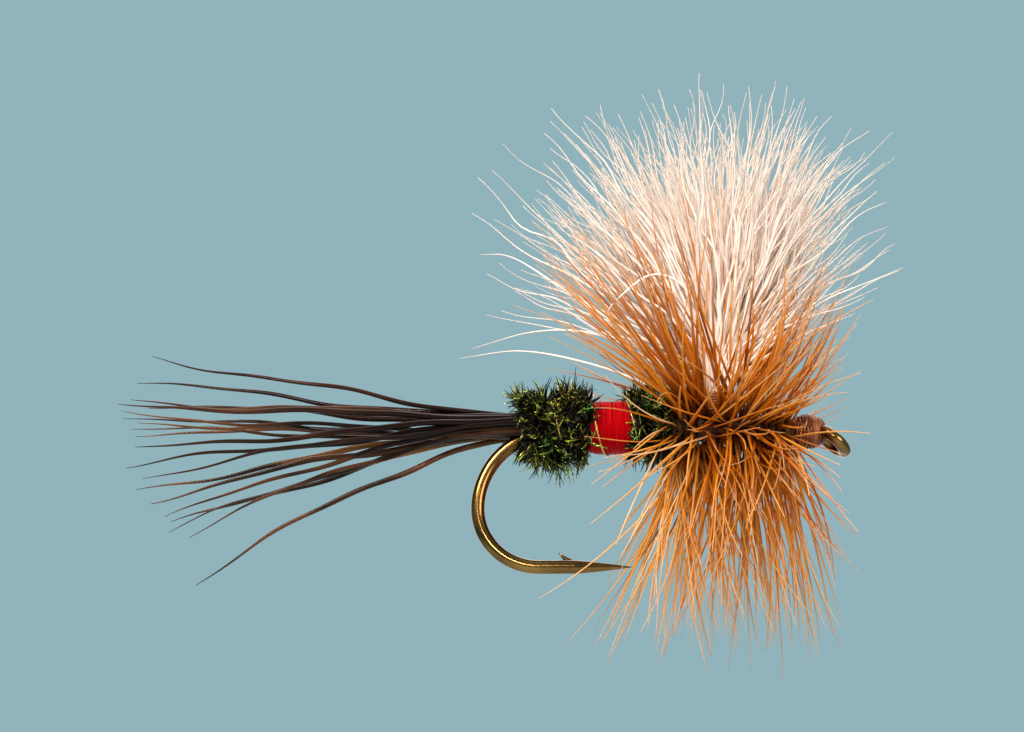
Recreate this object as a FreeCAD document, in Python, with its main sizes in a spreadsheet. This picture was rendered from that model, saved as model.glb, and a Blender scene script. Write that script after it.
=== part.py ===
import FreeCAD, Part

import math
import os

import Sketcher
from FreeCAD import Placement, Rotation, Vector

# Dry fly with an upright divided hair wing, dressed on a down-eyed hook. Millimetres.
# Origin: centre of the hook's eye ring. +X: along the shank, from the bend towards the eye.
# +Z: up, the way the wing stands. The fly's mid-plane is Y = 0.

doc = FreeCAD.newDocument("dry_fly")

# ---------------------------------------------------------------- driving dimensions
DIMENSIONS = [
    # hook: one length of wire
    ("wire_diameter", 0.54),
    ("upper_bend_radius", 3.09),
    ("lower_bend_radius", 2.32),
    ("bend_start", -10.56),
    ("spear_taper_start", -9.91),
    ("spear_mid", -8.95),
    ("spear_mid_diameter", 0.355),
    ("point_end", -7.75),
    ("point_diameter", 0.02),
    ("barb_front", -10.05),
    ("barb_back", -10.40),
    ("barb_tip", -10.55),
    ("barb_rise", 0.545),
    ("barb_width", 0.20),
    # eye ring
    ("eye_ring_radius", 0.58),
    ("eye_wire_diameter", 0.50),
    ("eye_bore_radius", 0.35),
    ("eye_angle", 40.0),
    ("eye_sweep", 340.0),
    ("eye_stub_sweep", 12.0),
    ("neck_start", -1.50),
    ("neck_diameter", 0.46),
    # thread and underbody
    ("thread_thickness", 0.07),
    ("body_height", 0.53),
    ("tail_wraps_radius", 0.68),
    ("underbody_radius", 0.78),
    ("underbody_front", -5.15),
    ("body_core_radius", 1.02),
    # bands of the body, from the tail forwards
    ("herl_back", -11.85),
    ("floss_back", -9.33),
    ("floss_front", -7.67),
    ("herl_front", -6.30),
    ("rear_flue_radius", 1.94),
    ("front_flue_radius", 1.80),
    ("flue_overhang", 0.25),
    ("rib_diameter", 0.08),
    ("rib_pitch", 1.47),
    # tail
    ("tail_layer_hairs", 10),
    ("tail_inner_spread", 103.0),
    ("tail_outer_spread", 73.0),
    ("tail_hair_diameter", 0.17),
    ("tail_tip_diameter", 0.03),
    ("tail_exit", -12.00),
    ("tail_length", 15.60),
    ("tail_rise", -0.90),
    ("tail_fan", 4.60),
    ("tail_fan_outliers", 15.20),
    ("tail_side_fan", 4.5),
    ("tail_middle_rank", 0.15),
    ("tail_end_arc", 6.6),
    ("tail_end_scatter", 0.9),
    ("tail_butt_scatter", 1.3),
    ("tail_droop_power", 1.35),
    ("tail_ripple", 0.10),
    ("tail_ripple_waves", 1.2),
    # wing
    ("wing_station", -4.45),
    ("wing_foot_height", 0.90),
    ("wing_foot_spacing", 0.84),
    ("wing_lean", 15.0),
    ("wing_length", 12.94),
    ("post_thickness", 0.10),
    # hackles
    ("quill_diameter", 0.20),
    ("quill_pitch", 0.26),
    ("rear_hackle_back", -6.35),
    ("rear_hackle_turns", 4.4),
    ("rear_barb_reach", 9.40),
    ("front_hackle_back", -3.80),
    ("front_hackle_turns", 7.6),
    ("front_barb_reach", 8.80),
    # head
    ("head_radius", 0.675),
    ("head_front_radius", 0.45),
    ("head_front", -0.42),
    ("cement_thickness", 0.03),
]

sheet = doc.addObject("Spreadsheet::Sheet", "dims")
for row, (alias, size) in enumerate(DIMENSIONS, start=1):
    sheet.set("A%d" % row, alias)
    sheet.set("B%d" % row, "%g" % size)
    sheet.setAlias("B%d" % row, alias)
doc.recompute()

# Heights that several sub-parts share, as expressions of the sheet.
SHANK_HEIGHT = "dims.eye_ring_radius * sin(dims.eye_angle * 1 deg)"
SPEAR_HEIGHT = "(" + SHANK_HEIGHT + " - dims.upper_bend_radius - dims.lower_bend_radius)"
BODY_HEIGHT = "dims.body_height"


def size_of(expression):
    """The number that an expression of the sheet gives."""
    value = sheet.evalExpression(expression)
    return float(getattr(value, "Value", value))


# ---------------------------------------------------------------- sketch helpers
def origin_plane(body, role):
    return next(plane for plane in body.Origin.OriginFeatures if plane.Role == role)


def side_sketch(body, name, height="0"):
    """A sketch on the XZ plane whose horizontal axis lies at the given height."""
    sketch = body.newObject("Sketcher::SketchObject", name)
    sketch.AttachmentSupport = [(origin_plane(body, "XZ_Plane"), "")]
    sketch.MapMode = "FlatFace"
    sketch.setExpression("AttachmentOffset.Base.y", height)
    return sketch


def cross_sketch(body, name, station, height):
    """A sketch across the shank, at the given station along X, centred at the given height."""
    sketch = body.newObject("Sketcher::SketchObject", name)
    sketch.AttachmentSupport = [(origin_plane(body, "YZ_Plane"), "")]
    sketch.MapMode = "FlatFace"
    sketch.setExpression("AttachmentOffset.Base.y", height)
    sketch.setExpression("AttachmentOffset.Base.z", station)
    return sketch


def bind(sketch, kind, *reference, to):
    """Add one dimensional constraint and bind it to an expression of the sheet."""
    index = sketch.addConstraint(Sketcher.Constraint(kind, *reference, size_of(to)))
    name = "%s_%d" % (kind.lower(), index)
    sketch.renameConstraint(index, name)
    sketch.setExpression("Constraints." + name, to)


def fix_point(sketch, geometry, position, across, up):
    """Hold one point of a sketch at (across, up) from the sketch's origin."""
    bind(sketch, "DistanceX", -1, 1, geometry, position, to=across)
    bind(sketch, "DistanceY", -1, 1, geometry, position, to=up)


def draw_outline(sketch, corners):
    """A closed outline of straight edges through corners given as pairs of expressions."""
    points = [Vector(size_of(across), size_of(up), 0) for across, up in corners]
    count = len(points)
    for index in range(count):
        edge = Part.LineSegment(points[index], points[(index + 1) % count])
        sketch.addGeometry(edge, False)
    for index in range(count):
        sketch.addConstraint(Sketcher.Constraint("Coincident", index, 2, (index + 1) % count, 1))
    for index, (across, up) in enumerate(corners):
        fix_point(sketch, index, 1, across, up)


def draw_circle(sketch, radius, across="0", up="0"):
    centre = Vector(size_of(across), size_of(up), 0)
    circle = sketch.addGeometry(Part.Circle(centre, Vector(0, 0, 1), size_of(radius)), False)
    bind(sketch, "Radius", circle, to=radius)
    fix_point(sketch, circle, 3, across, up)


def new_body(label):
    return doc.addObject("PartDesign::Body", label)


def revolve(body, name, sketch, axis="H_Axis"):
    feature = body.newObject("PartDesign::Revolution", name)
    feature.Profile = sketch
    feature.ReferenceAxis = (sketch, [axis])
    sketch.Visibility = False
    return feature


def turned_body(label, height, corners):
    """A sub-part turned about a line along X at the given height, from its half outline."""
    body = new_body(label)
    sketch = side_sketch(body, label + "_outline", height)
    draw_outline(sketch, corners)
    revolve(body, label + "_turn", sketch)
    return body


def sleeve(label, height, back, front, inner, outer):
    """A plain sleeve round a line along X."""
    return turned_body(label, height, [(back, inner), (back, outer), (front, outer), (front, inner)])


def wound_body(label, height, back, coil_radius, strand_diameter, pitch, turns):
    """A round strand wound as a helix about a line along X."""
    body = new_body(label)
    sketch = side_sketch(body, label + "_section", height)
    draw_circle(sketch, "(%s) / 2" % strand_diameter, back, coil_radius)
    coil = body.newObject("PartDesign::AdditiveHelix", label + "_coil")
    coil.Profile = sketch
    coil.ReferenceAxis = (sketch, ["H_Axis"])
    coil.Mode = "pitch-turns-angle"
    coil.setExpression("Pitch", pitch)
    coil.setExpression("Turns", turns)
    sketch.Visibility = False
    return body


def cut(label, base, tool):
    """The base with the tool's space taken out of it."""
    result = doc.addObject("Part::Cut", label)
    result.Base = base
    result.Tool = tool
    return result


# ---------------------------------------------------------------- hook
def make_hook():
    """One length of wire: eye ring, neck, shank, round bend, barb and tapered point."""
    body = new_body("hook")
    wire_radius = "dims.wire_diameter / 2"

    path = side_sketch(body, "hook_wire_path")
    shank = size_of(SHANK_HEIGHT)
    spear = size_of(SPEAR_HEIGHT)
    upper = size_of("dims.upper_bend_radius")
    lower = size_of("dims.lower_bend_radius")
    bend_start = size_of("dims.bend_start")
    bend_end = bend_start - upper + lower
    upper_centre = Vector(bend_start, shank - upper, 0)
    lower_centre = Vector(bend_end, shank - upper, 0)
    across = Vector(0, 0, 1)
    path.addGeometry(Part.LineSegment(Vector(size_of("dims.neck_start"), shank, 0),
                                      Vector(bend_start, shank, 0)), False)
    path.addGeometry(Part.ArcOfCircle(Part.Circle(upper_centre, across, upper),
                                      math.pi / 2, math.pi), False)
    path.addGeometry(Part.ArcOfCircle(Part.Circle(lower_centre, across, lower),
                                      math.pi, 3 * math.pi / 2), False)
    path.addGeometry(Part.LineSegment(Vector(bend_end, spear, 0),
                                      Vector(size_of("dims.spear_taper_start"), spear, 0)), False)
    path.addConstraint(Sketcher.Constraint("Tangent", 0, 2, 1, 1))
    path.addConstraint(Sketcher.Constraint("Tangent", 1, 2, 2, 1))
    path.addConstraint(Sketcher.Constraint("Tangent", 2, 2, 3, 1))
    path.addConstraint(Sketcher.Constraint("Horizontal", 0))
    path.addConstraint(Sketcher.Constraint("Horizontal", 3))
    bind(path, "Radius", 1, to="dims.upper_bend_radius")
    bind(path, "Radius", 2, to="dims.lower_bend_radius")
    fix_point(path, 0, 1, "dims.neck_start", SHANK_HEIGHT)
    bind(path, "DistanceX", -1, 1, 0, 2, to="dims.bend_start")
    bind(path, "DistanceX", -1, 1, 3, 2, to="dims.spear_taper_start")

    section = cross_sketch(body, "hook_wire_section", "dims.neck_start", SHANK_HEIGHT)
    draw_circle(section, wire_radius)
    wire = body.newObject("PartDesign::AdditivePipe", "hook_wire")
    wire.Profile = section
    wire.Spine = (path, ["Edge%d" % (edge + 1) for edge in range(4)])

    neck = side_sketch(body, "hook_neck_outline", SHANK_HEIGHT)
    ring_back = "-dims.eye_ring_radius * cos(dims.eye_angle * 1 deg)"
    draw_outline(neck, [("dims.neck_start", "0"), ("dims.neck_start", wire_radius),
                        (ring_back, "dims.neck_diameter / 2"), (ring_back, "0")])
    revolve(body, "hook_neck", neck)

    # The ring's section is round, with a short straight land where the leader bears.
    ring = side_sketch(body, "hook_eye_section")
    ring.AttachmentOffset = Placement(Vector(), Rotation(Vector(0, 0, -1), size_of("dims.eye_angle")))
    ring.setExpression("AttachmentOffset.Rotation.Angle", "dims.eye_angle * 1 deg")
    ring_radius = size_of("dims.eye_ring_radius")
    wire_half = size_of("dims.eye_wire_diameter / 2")
    inset = ring_radius - size_of("dims.eye_bore_radius")
    land = math.sqrt(wire_half ** 2 - inset ** 2)
    reach = math.atan2(land, inset)
    centre = Vector(-ring_radius, 0, 0)
    ring.addGeometry(Part.ArcOfCircle(Part.Circle(centre, across, wire_half),
                                      reach, 2 * math.pi - reach), False)
    ring.addGeometry(Part.LineSegment(Vector(inset - ring_radius, -land, 0),
                                      Vector(inset - ring_radius, land, 0)), False)
    ring.addConstraint(Sketcher.Constraint("Coincident", 0, 2, 1, 1))
    ring.addConstraint(Sketcher.Constraint("Coincident", 1, 2, 0, 1))
    ring.addConstraint(Sketcher.Constraint("Vertical", 1))
    bind(ring, "Radius", 0, to="dims.eye_wire_diameter / 2")
    fix_point(ring, 0, 3, "-dims.eye_ring_radius", "0")
    bind(ring, "DistanceX", -1, 1, 1, 1, to="-dims.eye_bore_radius")
    eye = revolve(body, "hook_eye", ring, "V_Axis")
    eye.Type = "TwoAngles"
    eye.Reversed = True
    eye.setExpression("Angle", "dims.eye_sweep")
    eye.setExpression("Angle2", "dims.eye_stub_sweep")

    point = side_sketch(body, "hook_point_outline", SPEAR_HEIGHT)
    draw_outline(point, [("dims.spear_taper_start", "0"), ("dims.spear_taper_start", wire_radius),
                         ("dims.spear_mid", "dims.spear_mid_diameter / 2"),
                         ("dims.point_end", "dims.point_diameter / 2"), ("dims.point_end", "0")])
    revolve(body, "hook_point", point)

    barb = side_sketch(body, "hook_barb_outline", SPEAR_HEIGHT)
    root = "dims.wire_diameter * 0.4"
    draw_outline(barb, [("dims.barb_front", root), ("dims.barb_back", root),
                        ("dims.barb_tip", "dims.barb_rise")])
    wedge = body.newObject("PartDesign::Pad", "hook_barb")
    wedge.Profile = barb
    wedge.SideType = "Symmetric"
    wedge.setExpression("Length", "dims.barb_width")
    for sketch in (path, section, barb):
        sketch.Visibility = False
    return body


# ---------------------------------------------------------------- thread and underbody
THREAD_RADIUS = "dims.wire_diameter / 2 + dims.thread_thickness"
QUILL_BED_RADIUS = "dims.tail_wraps_radius + dims.thread_thickness"


def make_thread_base():
    """Thread laid along the bare shank, from the head back to the bend."""
    return sleeve("thread_base", SHANK_HEIGHT, "dims.bend_start", "dims.neck_start - 0.05",
                  "dims.wire_diameter / 2", THREAD_RADIUS)


def make_tail_wraps():
    """Thread that binds the tail's butts down, under the rear herl."""
    return sleeve("tail_wraps", BODY_HEIGHT, "dims.herl_back", "dims.floss_back - 0.12",
                  "dims.tail_wraps_radius", QUILL_BED_RADIUS)


def make_wing_butts():
    """Butts of the wing hair, bound back along the shank as the underbody."""
    back, front = "dims.floss_back - 0.07", "dims.underbody_front"
    radius = "dims.underbody_radius"
    body = turned_body("wing_butts", BODY_HEIGHT,
                       [(back, "0"), (back, radius), (front + " - 0.2", radius),
                        (front, radius + " - 0.16"), (front, "0")])
    bed = side_sketch(body, "wing_butts_bed", SHANK_HEIGHT)
    draw_outline(bed, [(back + " - 1", "0"), (back + " - 1", THREAD_RADIUS),
                       (front + " + 1", THREAD_RADIUS), (front + " + 1", "0")])
    groove = body.newObject("PartDesign::Groove", "wing_butts_seat")
    groove.Profile = bed
    groove.ReferenceAxis = (bed, ["H_Axis"])
    bed.Visibility = False
    return body


# ---------------------------------------------------------------- body bands
FLUE_INNER = "dims.body_core_radius + dims.rib_diameter + 0.004"


def make_flue(label, back, front, reach):
    """The bushy flue of a wound herl band, a barrel with rounded shoulders."""
    back = "(%s - dims.flue_overhang)" % back
    front = "(%s + dims.flue_overhang)" % front
    shoulder = "(%s - (%s - %s) * 0.35)" % (reach, reach, FLUE_INNER)
    return turned_body(label, BODY_HEIGHT,
                       [(back + " + 0.2", FLUE_INNER), (back, shoulder), (back + " + 0.5", reach),
                        (front + " - 0.5", reach), (front, shoulder), (front + " - 0.2", FLUE_INNER)])


def make_body_bands():
    core = "dims.body_core_radius"
    floss_shoulder = core + " - 0.05"
    return [
        sleeve("rear_herl_quills", BODY_HEIGHT, "dims.herl_back", "dims.floss_back",
               QUILL_BED_RADIUS, core),
        make_flue("rear_herl_flue", "dims.herl_back", "(dims.floss_back - 0.25)",
                  "dims.rear_flue_radius"),
        turned_body("floss_band", BODY_HEIGHT,
                    [("dims.floss_back", "dims.underbody_radius"), ("dims.floss_back", floss_shoulder),
                     ("dims.floss_back + 0.3", core), ("dims.floss_front - 0.3", core),
                     ("dims.floss_front", floss_shoulder), ("dims.floss_front", "dims.underbody_radius")]),
        sleeve("front_herl_quills", BODY_HEIGHT, "dims.floss_front", "dims.herl_front",
               "dims.underbody_radius", core),
        make_flue("front_herl_flue", "(dims.floss_front + 0.1)", "(dims.herl_front - 0.2)",
                  "dims.front_flue_radius"),
        wound_body("rib_wire", BODY_HEIGHT, "dims.herl_back + 0.1",
                   core + " + dims.rib_diameter / 2 + 0.002", "dims.rib_diameter", "dims.rib_pitch",
                   "(dims.herl_front - dims.herl_back - 0.2) / dims.rib_pitch"),
    ]


# ---------------------------------------------------------------- tail
def loft(label, sections, ruled=False):
    solid = doc.addObject("Part::Loft", label)
    solid.Sections = sections
    solid.Solid = True
    solid.Ruled = ruled
    return solid


def tail_roots():
    """Where each hair lies round the top of the shank, in an inner and an outer layer."""
    shank = size_of(SHANK_HEIGHT)
    inner = size_of(THREAD_RADIUS) + 0.53 * size_of("dims.tail_hair_diameter")
    outer = inner + size_of("dims.tail_hair_diameter")
    hairs = int(size_of("dims.tail_layer_hairs"))
    roots = []
    for radius, spread in ((inner, "dims.tail_inner_spread"), (outer, "dims.tail_outer_spread")):
        for step in range(hairs):
            angle = math.radians(size_of(spread) * (2 * step / (hairs - 1) - 1))
            roots.append(Vector(0, radius * math.sin(angle), shank + radius * math.cos(angle)))
    return sorted(roots, key=lambda root: -root.z)


def tail_point(root, tip, along, sway):
    """A point of one hair's curve: along is 0 where it leaves the body and 1 at its tip."""
    drift = along ** size_of("dims.tail_droop_power")
    waves = size_of("dims.tail_ripple_waves") * along + sway
    ripple = size_of("dims.tail_ripple") * math.sin(2 * math.pi * waves) * along
    return Vector(root.x + (tip.x - root.x) * along,
                  root.y + (tip.y - root.y) * drift,
                  root.z + (tip.z - root.z) * drift + ripple)


def make_tail_hair(number, root, count):
    """One stiff hair: its butt straight along the shank, then a gentle curve out to its tip."""
    label = "tail_hair_%02d" % number
    rank = 0.5 - (number - 1) / (count - 1)
    sway = (number * 0.618) % 1
    leave = Vector(size_of("dims.tail_exit"), root.y, root.z)
    butt = Vector(size_of("dims.floss_back") - 0.2 - size_of("dims.tail_butt_scatter") * sway,
                  root.y, root.z)
    shortfall = (size_of("dims.tail_end_arc") * (rank - size_of("dims.tail_middle_rank")) ** 2
                 + size_of("dims.tail_end_scatter") * sway)
    tip = Vector(leave.x - size_of("dims.tail_length") + shortfall,
                 root.y * size_of("dims.tail_side_fan"),
                 size_of("dims.tail_rise") + size_of("dims.tail_fan") * rank
                 + size_of("dims.tail_fan_outliers") * rank ** 3)
    stations = [(butt, 1.0), (leave, 1.0)]
    stations += [(tail_point(leave, tip, along, sway), 1.18 - along) for along in (0.2, 0.4, 0.6, 0.8)]
    stations.append((tip, 0.0))
    sections = []
    for index, (point, fullness) in enumerate(stations):
        before = stations[max(index - 1, 0)][0]
        after = stations[min(index + 1, len(stations) - 1)][0]
        ring = doc.addObject("Part::Circle", "%s_section_%d" % (label, index + 1))
        ring.setExpression("Radius", "(dims.tail_tip_diameter + (dims.tail_hair_diameter"
                                     " - dims.tail_tip_diameter) * %.3f) / 2" % fullness)
        ring.Placement = Placement(point, Rotation(Vector(0, 0, 1), after - before))
        ring.Visibility = False
        sections.append(ring)
    return loft(label, sections, ruled=True)


def make_tail():
    roots = tail_roots()
    return [make_tail_hair(number, root, len(roots)) for number, root in enumerate(roots, start=1)]


# ---------------------------------------------------------------- wing
# Share of the length, half width fore and aft, half thickness, shift towards the eye.
WING_SECTIONS = [(0.0, 0.42, 0.24, 0.0), (0.07, 0.46, 0.26, 0.0), (0.19, 1.15, 0.60, 0.0),
                 (0.49, 3.30, 1.30, 0.2), (0.80, 4.60, 1.90, 0.1), (1.0, 2.40, 0.90, 0.0)]


def bunch_section(label, side, along, major, minor, shift=0.0):
    """One elliptical section of a leaning hair bunch, at a distance along its centre line."""
    lean = math.radians(size_of("dims.wing_lean"))
    foot = size_of("dims.wing_foot_spacing") / 2
    ellipse = doc.addObject("Part::Ellipse", label)
    ellipse.setExpression("MajorRadius", major)
    ellipse.setExpression("MinorRadius", minor)
    centre = Vector(size_of("dims.wing_station") + shift,
                    side * (foot + along * math.sin(lean)),
                    size_of("dims.wing_foot_height") + along * math.cos(lean))
    ellipse.Placement = Placement(centre, Rotation(Vector(1, 0, 0), -side * math.degrees(lean)))
    ellipse.Visibility = False
    return ellipse


def make_wing(label, side):
    """One bunch of the divided wing: bound tight at its foot, fanned fore and aft above."""
    length = size_of("dims.wing_length")
    sections = [bunch_section("%s_section_%d" % (label, index + 1), side, length * along,
                              "%g" % major, "%g" % minor, shift)
                for index, (along, major, minor, shift) in enumerate(WING_SECTIONS)]
    return loft(label, sections)


def make_wing_post(label, side, wing):
    """Thread wound round the foot of one bunch, which holds it upright."""
    wall = "dims.post_thickness"
    sections = [bunch_section("%s_section_%d" % (label, index + 1), side, along,
                              "0.46 + " + wall, "0.26 + " + wall)
                for index, along in enumerate((0.08, 0.80))]
    return cut(label, loft(label + "_outside", sections), wing)


def make_crossing_wraps():
    """Two crossed turns of thread on the shank between the bunches."""
    turns = []
    for name, skew in (("first", 25.0), ("second", -25.0)):
        turn = doc.addObject("Part::Torus", "wing_crossing_%s" % name)
        turn.setExpression("Radius2", "dims.thread_thickness * 0.7")
        turn.setExpression("Radius1", "(%s + dims.thread_thickness) / cos(25 deg)" % THREAD_RADIUS)
        place = Vector(size_of("dims.wing_station"), 0, size_of(SHANK_HEIGHT))
        turn.Placement = Placement(place, Rotation(Vector(0, 0, 1), skew)
                                   * Rotation(Vector(0, 1, 0), 90))
        turns.append(turn)
    wraps = doc.addObject("Part::Fuse", "wing_crossing_wraps")
    wraps.Base, wraps.Tool = turns
    return wraps


def make_wing_dam():
    """Thread built up against the front of the wing, which props it upright."""
    back, front = "dims.wing_station + 0.32", "dims.front_hackle_back - 0.04"
    return turned_body("wing_dam", SHANK_HEIGHT,
                       [(back, THREAD_RADIUS), (back, "0.42"), (back + " + 0.12", "0.56"),
                        (front, "0.44"), (front, THREAD_RADIUS)])


# ---------------------------------------------------------------- hackles
def make_hackle(label, height, bed_radius, back, turns, outline, wing_space):
    """A wound feather: its stem as a coil, and its barbs as a flared disc round the stem."""
    coil_radius = "(%s + dims.quill_diameter / 2 + 0.01)" % bed_radius
    stem = wound_body(label + "_stem", height, back + " + dims.quill_diameter / 2", coil_radius,
                      "dims.quill_diameter", "dims.quill_pitch", turns)
    disc = turned_body(label + "_disc", height, outline)
    return [stem, cut(label + "_barbs", disc, wing_space)]


def make_hackles(wing_space):
    rear_root = "dims.underbody_radius + dims.quill_diameter + 0.02"
    rear_back = "dims.rear_hackle_back"
    rear_front = "dims.rear_hackle_back + (dims.rear_hackle_turns + 0.8) * dims.quill_pitch"
    rear_reach = "dims.rear_barb_reach"
    rear_outline = [(rear_back, rear_root), (rear_back, "1.9"), (rear_back + " - 4.0", rear_reach),
                    (rear_front + " + 0.4", rear_reach), (rear_front, rear_root)]
    front_root = "%s + dims.quill_diameter + 0.02" % THREAD_RADIUS
    front_back = "dims.front_hackle_back"
    front_front = "dims.front_hackle_back + (dims.front_hackle_turns + 0.8) * dims.quill_pitch"
    front_reach = "dims.front_barb_reach"
    front_outline = [(front_back, front_root), (front_back, front_reach),
                     (front_front + " + 2.5", front_reach), (front_front + " + 1.5", "2.6"),
                     (front_front, front_root)]
    return (make_hackle("rear_hackle", BODY_HEIGHT, "dims.underbody_radius", rear_back,
                        "dims.rear_hackle_turns", rear_outline, wing_space)
            + make_hackle("front_hackle", SHANK_HEIGHT, THREAD_RADIUS, front_back,
                          "dims.front_hackle_turns", front_outline, wing_space))


# ---------------------------------------------------------------- head
def make_head(hook):
    """The barrel of thread behind the eye, and the clear cement over it."""
    wall = "dims.cement_thickness"
    back, front = "dims.neck_start", "dims.head_front"
    crest = back + " + 0.55"
    barrel = turned_body("head_barrel", SHANK_HEIGHT,
                         [(back, "0"), (back, "0.50"), (back + " + 0.2", "0.62"),
                          (crest, "dims.head_radius"), (front, "dims.head_front_radius"), (front, "0")])
    coat = turned_body("head_coat", SHANK_HEIGHT,
                       [(back, "0.50"), (back, "0.50 + " + wall),
                        (back + " + 0.2", "0.62 + " + wall), (crest, "dims.head_radius + " + wall),
                        (front, "dims.head_front_radius + " + wall), (front, "dims.head_front_radius"),
                        (crest, "dims.head_radius"), (back + " + 0.2", "0.62")])
    return [cut("thread_head", barrel, hook), cut("head_cement", coat, hook)]


# ---------------------------------------------------------------- assembly
hook_body = make_hook()
left_wing = make_wing("wing_left", 1)
right_wing = make_wing("wing_right", -1)
left_post = make_wing_post("wing_post_left", 1, left_wing)
right_post = make_wing_post("wing_post_right", -1, right_wing)
wing_space = doc.addObject("Part::MultiFuse", "wing_space")
wing_space.Shapes = [left_wing, right_wing]

nodes = [hook_body, make_thread_base(), make_tail_wraps(), make_wing_butts()]
nodes += make_body_bands()
nodes += make_tail()
nodes += [left_wing, right_wing, left_post, right_post, make_crossing_wraps(), make_wing_dam()]
nodes += make_hackles(wing_space)
nodes += make_head(hook_body)

doc.recompute()

# ---------------------------------------------------------------- checks and export
for item in doc.Objects:
    if "Invalid" in item.State or "Error" in item.State:
        raise RuntimeError("%s failed: %s" % (item.Label, item.State))

os.makedirs("parts", exist_ok=True)
for node in nodes:
    shape = node.Shape
    if shape.isNull() or not shape.isValid() or not shape.Solids:
        raise RuntimeError("%s has no valid solid" % node.Label)
    shape.exportStep("parts/%s.step" % node.Label)
    box = shape.BoundBox
    print("%-22s solids %d  volume %8.4f  x %7.2f %7.2f  y %6.2f %6.2f  z %6.2f %6.2f"
          % (node.Label, len(shape.Solids), shape.Volume, box.XMin, box.XMax,
             box.YMin, box.YMax, box.ZMin, box.ZMax))
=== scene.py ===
import math

import bpy
import numpy as np
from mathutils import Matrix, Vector


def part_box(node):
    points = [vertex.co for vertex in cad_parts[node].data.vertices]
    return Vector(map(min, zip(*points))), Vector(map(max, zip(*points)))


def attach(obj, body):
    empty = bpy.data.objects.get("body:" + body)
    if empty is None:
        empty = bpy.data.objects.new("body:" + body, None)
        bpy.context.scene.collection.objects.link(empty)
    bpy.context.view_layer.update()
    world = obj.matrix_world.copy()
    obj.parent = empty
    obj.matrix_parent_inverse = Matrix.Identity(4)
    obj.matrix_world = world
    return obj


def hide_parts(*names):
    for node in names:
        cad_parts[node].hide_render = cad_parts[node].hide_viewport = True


# Looks of a dry fly: hook, hair tail, herl and floss body, divided hair wing, two hackles, head.
# Lengths of the fly are in millimetres until a mesh is made, which scales them to metres.
# The studio's own lengths are in metres.

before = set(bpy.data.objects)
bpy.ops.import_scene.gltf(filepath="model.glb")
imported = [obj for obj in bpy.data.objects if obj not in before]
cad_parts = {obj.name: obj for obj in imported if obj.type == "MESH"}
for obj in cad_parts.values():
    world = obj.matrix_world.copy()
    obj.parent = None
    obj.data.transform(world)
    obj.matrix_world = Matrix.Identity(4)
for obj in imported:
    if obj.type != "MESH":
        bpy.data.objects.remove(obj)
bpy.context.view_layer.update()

MM = 0.001


def node_box(node):
    """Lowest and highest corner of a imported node, in millimetres."""
    low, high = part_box(node)
    return np.array(low) / MM, np.array(high) / MM


# ---------------------------------------------------------------- places read from the frame
BASE_LOW, BASE_HIGH = node_box("thread_base")
SHANK_Z = (BASE_LOW[2] + BASE_HIGH[2]) / 2
THREAD_RADIUS = (BASE_HIGH[2] - BASE_LOW[2]) / 2
BEND_START = BASE_LOW[0]
HOOK_LOW = node_box("hook")[0]
FLOSS_LOW, FLOSS_HIGH = node_box("floss_band")
BODY_Z = (FLOSS_LOW[2] + FLOSS_HIGH[2]) / 2
CORE_RADIUS = (FLOSS_HIGH[2] - FLOSS_LOW[2]) / 2
HEAD_LOW, HEAD_HIGH = node_box("thread_head")
WING_FOOT_Z = node_box("wing_left")[0][2]
WRAPS_LOW, WRAPS_HIGH = node_box("wing_crossing_wraps")
WING_X = WRAPS_LOW[0] / 2 + WRAPS_HIGH[0] / 2
RIB_LOW, RIB_HIGH = node_box("rib_wire")
RIB_INSET = 0.05
RIB_START = RIB_LOW[0] + RIB_INSET
RIB_END = RIB_HIGH[0] - RIB_INSET

# ---------------------------------------------------------------- sizes that the boxes don't give
WIRE_RADIUS = 0.27
EYE_RING_RADIUS = 0.58
EYE_WIRE_RADIUS = 0.24
EYE_ANGLE = math.radians(40)
QUILL_PITCH = 0.26
RIB_PITCH = 1.47
RIB_PHASE = math.radians(-189)
WING_LEAN = math.radians(15)
FULL_TURN = 2 * np.pi

X_AXIS, Y_AXIS, Z_AXIS = np.eye(3)


# ---------------------------------------------------------------- strand geometry
def unit(vectors):
    return vectors / np.maximum(np.linalg.norm(vectors, axis=-1, keepdims=True), 1e-12)


def smoothstep(values):
    values = np.clip(values, 0, 1)
    return values * values * (3 - 2 * values)


def wave(size, waves, share, phase):
    """A sine ripple that repeats a number of times as share goes from 0 to 1."""
    return size * np.sin(FULL_TURN * waves * share + phase)


def curve(share, start, start_pull, end, end_pull):
    """A smooth path from start to end that leaves and arrives along the two pulls."""
    return ((2 * share ** 3 - 3 * share ** 2 + 1) * start
            + (share ** 3 - 2 * share ** 2 + share) * start_pull
            + (3 * share ** 2 - 2 * share ** 3) * end
            + (share ** 3 - share ** 2) * end_pull)


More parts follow.
